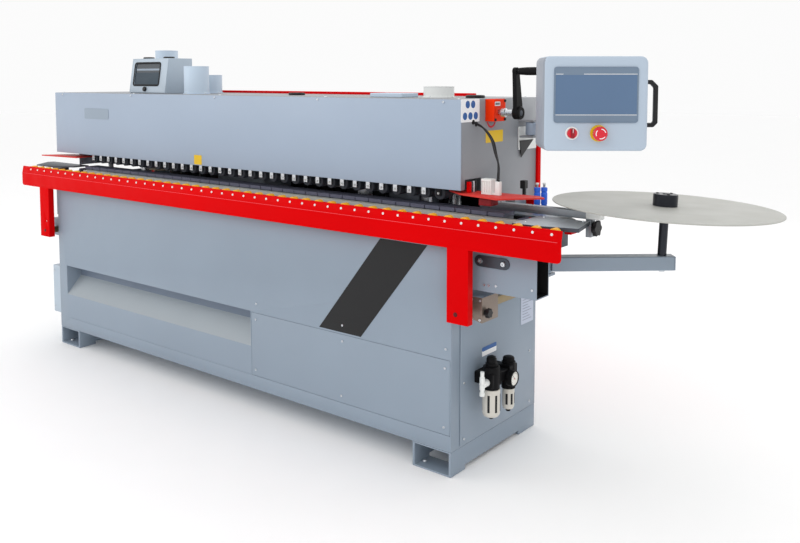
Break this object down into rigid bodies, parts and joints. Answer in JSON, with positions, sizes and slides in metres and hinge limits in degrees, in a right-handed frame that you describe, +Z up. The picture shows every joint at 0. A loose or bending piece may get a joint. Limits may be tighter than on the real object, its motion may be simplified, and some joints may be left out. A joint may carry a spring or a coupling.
{
  "type": "edge banding machine",
  "caption": "Floor-standing machine that glues edge band to boards: cabinet base, closed head with pressure beam, pad chain, roller support rail, swinging operator panel and band disc.",
  "frame": {"origin": "the middle of the bounding box on the floor, under the feet", "axes": "+X is the infeed end and the longest extent, boards travel towards -X; +Y is the rear, the operator stands at -Y; +Z is up"},
  "size_m": [3.6064, 0.978, 1.442],
  "materials": {
    "grey_paint": "fine satin powder coat",
    "light_paint": "satin powder coat",
    "red_paint": "satin powder coat",
    "steel": "ground steel",
    "dark_steel": "blackened steel",
    "pad_rubber": "ribbed rubber pads",
    "yellow_plastic": "moulded plastic",
    "blue_plastic": "moulded plastic",
    "orange_plastic": "moulded plastic",
    "red_plastic": "moulded plastic",
    "black_plastic": "moulded plastic",
    "clear_bowl": "satin bowl guard",
    "screen_glass": "touch panel",
    "disc_board": "smooth board",
    "cloth": "stitched cloth"
  },
  "bodies": {
    "base": {"base_cabinet": "grey_paint", "foot_channel_left": "grey_paint", "foot_channel_right": "grey_paint", "front_service_panel": "grey_paint", "end_service_panel": "grey_paint", "rear_service_panel": "grey_paint", "table_beam": "grey_paint", "drive_motor": "grey_paint", "head_casing": "grey_paint", "buffing_unit": "grey_paint", "socket_box": "light_paint", "control_cabinet": "light_paint", "instrument_box": "light_paint", "rear_frame": "red_paint", "infeed_table": "steel", "lift_column_left": "steel", "lift_column_right": "steel", "band_guide_bracket": "steel", "conveyor_track": "dark_steel", "outfeed_plate": "dark_steel", "glue_unit": "dark_steel", "trim_unit": "dark_steel", "conveyor_chain": "pad_rubber", "position_indicator": "orange_plastic", "frl_body": "black_plastic", "frl_bowl_large": "clear_bowl", "frl_bowl_small": "clear_bowl"},
    "hood": {"front_hood": "light_paint"},
    "pressure_unit": {"pressure_beam": "red_paint", "pressure_rollers": "dark_steel", "clamp_cylinder": "light_paint", "air_tube_1": "black_plastic", "air_tube_2": "black_plastic"},
    "pressure_roller": {"pressure_roller_infeed": "dark_steel"},
    "crank": {"height_crank": "black_plastic"},
    "crank_handle": {"crank_grip": "black_plastic"},
    "drive_wheel": {"drive_sprocket": "dark_steel"},
    "idler_wheel": {"idler_sprocket": "dark_steel"},
    "glue_wheel": {"glue_roller": "steel"},
    "press_wheel": {"press_roller": "steel"},
    "buff_wheel": {"buffing_wheel": "cloth"},
    "guide_front": {"guide_roller_front": "blue_plastic"},
    "guide_rear": {"guide_roller_rear": "blue_plastic"},
    "fence": {"infeed_fence": "steel"},
    "fence_clamp": {"fence_knob": "black_plastic"},
    "regulator": {"regulator_knob": "black_plastic"},
    "panel_arm": {"hmi_arm": "light_paint"},
    "panel": {"hmi_housing": "light_paint", "hmi_screen": "screen_glass", "hmi_handle": "black_plastic"},
    "estop": {"estop_button": "red_plastic"},
    "selector": {"selector_switch": "red_plastic"},
    "arm": {"disc_arm": "grey_paint"},
    "disc": {"band_disc": "disc_board"},
    "rail": {"support_rail": "red_paint", "support_rollers": "yellow_plastic"},
    "rail_roller": {"support_roller_infeed": "yellow_plastic"},
    "knob_right": {"rail_knob_right": "black_plastic"},
    "knob_left": {"rail_knob_left": "black_plastic"},
    "door": {"box_door": "light_paint"}
  },
  "joints": [
    {"name": "hood_open", "type": "hinge", "parent": "base", "child": "hood", "pos_m": [-0.33624, -0.16776, 1.2315], "axis": [-1, 0, 0], "range_deg": [0, 100]},
    {"name": "crank_turn", "type": "hinge", "parent": "base", "child": "crank", "pos_m": [0.95876, 0.00844, 1.187], "axis": [1, 0, 0], "range_deg": [0, 1444]},
    {"name": "beam_height", "type": "slide", "parent": "base", "child": "pressure_unit", "axis": [0, 0, -1], "range_m": [0, 0.02]},
    {"name": "pressure_roller_spin", "type": "hinge", "parent": "pressure_unit", "child": "pressure_roller", "pos_m": [0.77376, -0.09756, 0.914], "axis": [0, 1, 0], "continuous": true},
    {"name": "crank_grip_spin", "type": "hinge", "parent": "crank", "child": "crank_handle", "pos_m": [1.05276, -0.00756, 1.325], "axis": [1, 0, 0], "continuous": true},
    {"name": "chain_drive", "type": "hinge", "parent": "base", "child": "drive_wheel", "pos_m": [-1.37124, -0.09756, 0.783], "axis": [0, -1, 0], "continuous": true},
    {"name": "idler_spin", "type": "hinge", "parent": "base", "child": "idler_wheel", "pos_m": [1.03076, -0.09756, 0.783], "axis": [0, -1, 0], "continuous": true},
    {"name": "glue_roller_spin", "type": "hinge", "parent": "base", "child": "glue_wheel", "pos_m": [0.64676, -0.02556, 0.875], "axis": [0, 0, 1], "continuous": true},
    {"name": "press_roller_spin", "type": "hinge", "parent": "base", "child": "press_wheel", "pos_m": [0.34876, -0.01556, 0.875], "axis": [0, 0, 1], "continuous": true},
    {"name": "buffing_spin", "type": "hinge", "parent": "base", "child": "buff_wheel", "pos_m": [-1.01624, 0.06244, 0.883], "axis": [0, 0, 1], "continuous": true},
    {"name": "guide_front_spin", "type": "hinge", "parent": "base", "child": "guide_front", "pos_m": [1.02076, 0.10244, 0.89], "axis": [0, 0, 1], "continuous": true},
    {"name": "guide_rear_spin", "type": "hinge", "parent": "base", "child": "guide_rear", "pos_m": [1.03876, 0.11844, 0.89], "axis": [0, 0, 1], "continuous": true},
    {"name": "fence_slide", "type": "slide", "parent": "base", "child": "fence", "axis": [0, 1, 0], "range_m": [0, 0.008]},
    {"name": "fence_knob_turn", "type": "hinge", "parent": "fence", "child": "fence_clamp", "pos_m": [1.30776, -0.04556, 0.84], "axis": [1, 0, 0], "range_deg": [0, 90]},
    {"name": "regulator_turn", "type": "hinge", "parent": "base", "child": "regulator", "pos_m": [0.96876, 0.01044, 0.36], "axis": [0, 0, 1], "range_deg": [-150, 150]},
    {"name": "panel_arm_swing", "type": "hinge", "parent": "base", "child": "panel_arm", "pos_m": [0.92876, 0.22244, 1.1225], "axis": [0, 0, 1], "range_deg": [0, 60]},
    {"name": "panel_turn", "type": "hinge", "parent": "panel_arm", "child": "panel", "pos_m": [1.36376, -0.26756, 1.235], "axis": [0, 0, 1], "range_deg": [-30, 30]},
    {"name": "estop_push", "type": "slide", "parent": "panel", "child": "estop", "axis": [-0.6101, 0.7923, 0], "range_m": [0, 0.004], "stiffness_N_per_m": 500},
    {"name": "selector_turn", "type": "hinge", "parent": "panel", "child": "selector", "pos_m": [1.42351, -0.44656, 1.1585], "axis": [0.6101, -0.7923, 0], "range_deg": [0, 90]},
    {"name": "disc_arm_swing", "type": "hinge", "parent": "base", "child": "arm", "pos_m": [1.16376, -0.10756, 0.72], "axis": [0, 0, 1], "range_deg": [-40, 0]},
    {"name": "disc_spin", "type": "hinge", "parent": "arm", "child": "disc", "pos_m": [1.45376, 0.13944, 0.898], "axis": [0.0319, 0.0272, 0.9991], "continuous": true},
    {"name": "rail_slide", "type": "slide", "parent": "base", "child": "rail", "axis": [0, -1, 0], "range_m": [0, 0.25]},
    {"name": "rail_roller_spin", "type": "hinge", "parent": "rail", "child": "rail_roller", "pos_m": [1.28576, -0.26856, 0.855], "axis": [0, 1, 0], "continuous": true},
    {"name": "rail_knob_right_turn", "type": "hinge", "parent": "base", "child": "knob_right", "pos_m": [1.02076, -0.20756, 0.56], "axis": [1, 0, 0], "range_deg": [0, 90]},
    {"name": "rail_knob_left_turn", "type": "hinge", "parent": "base", "child": "knob_left", "pos_m": [-1.54324, -0.20756, 0.56], "axis": [1, 0, 0], "range_deg": [0, 90]},
    {"name": "box_door_open", "type": "hinge", "parent": "base", "child": "door", "pos_m": [-0.96724, -0.02404, 1.39538], "axis": [-1, 0, 0], "range_deg": [0, 90]}
  ],
  "couplings": [
    {"joint": "crank_turn", "follows": "beam_height", "rad_per_m": 1256.6},
    {"joint": "idler_spin", "follows": "chain_drive", "ratio": 1}
  ]
}
